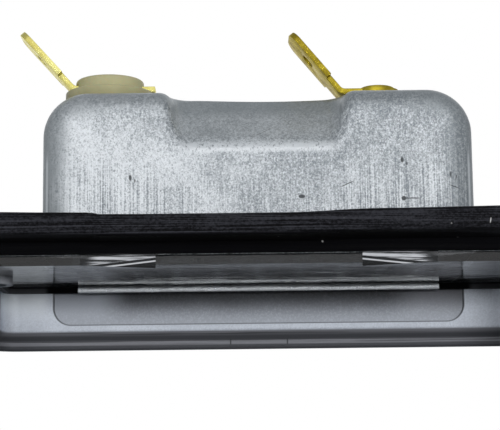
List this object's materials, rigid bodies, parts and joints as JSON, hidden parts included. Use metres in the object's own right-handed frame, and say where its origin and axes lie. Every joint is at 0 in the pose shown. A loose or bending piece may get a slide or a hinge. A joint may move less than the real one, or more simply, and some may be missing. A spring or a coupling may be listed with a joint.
{
  "type": "number plate lamp",
  "caption": "Number plate lamp with a deep-drawn aluminium housing, rubber gasket, clear lens plate, cast hood open towards the plate, festoon bulb and bent brass blade terminals.",
  "frame": {"origin": "middle of the lamp in plan, at the height of the hood's rim, on which it stands", "axes": "+X along the lamp towards the earth blade, -Y towards the number plate, +Z into the car body towards the terminals"},
  "size_m": [0.082, 0.038, 0.043],
  "materials": {
    "aluminium": "drawn satin with light scratches",
    "rubber": "matt",
    "clear_plastic": "clear and glossy",
    "cast_metal": "satin silver on a casting",
    "nylon": "natural, slightly translucent",
    "brass": "bright stamped",
    "spring_bronze": "rolled strip",
    "bulb_glass": "clear",
    "nickel": "nickel plated",
    "tungsten": "drawn wire"
  },
  "bodies": {
    "root": {"housing": "aluminium", "gasket": "rubber", "lens": "clear_plastic", "hood": "cast_metal", "live_insulator": "nylon", "live_inner_insulator": "nylon", "live_terminal": "brass", "earth_terminal": "brass", "live_rivet": "brass", "earth_rivet": "brass", "live_contact_spring": "spring_bronze", "earth_contact_spring": "spring_bronze", "bulb_glass": "bulb_glass", "bulb_cap_live": "nickel", "bulb_cap_earth": "nickel", "bulb_filament": "tungsten"}
  },
  "joints": []
}
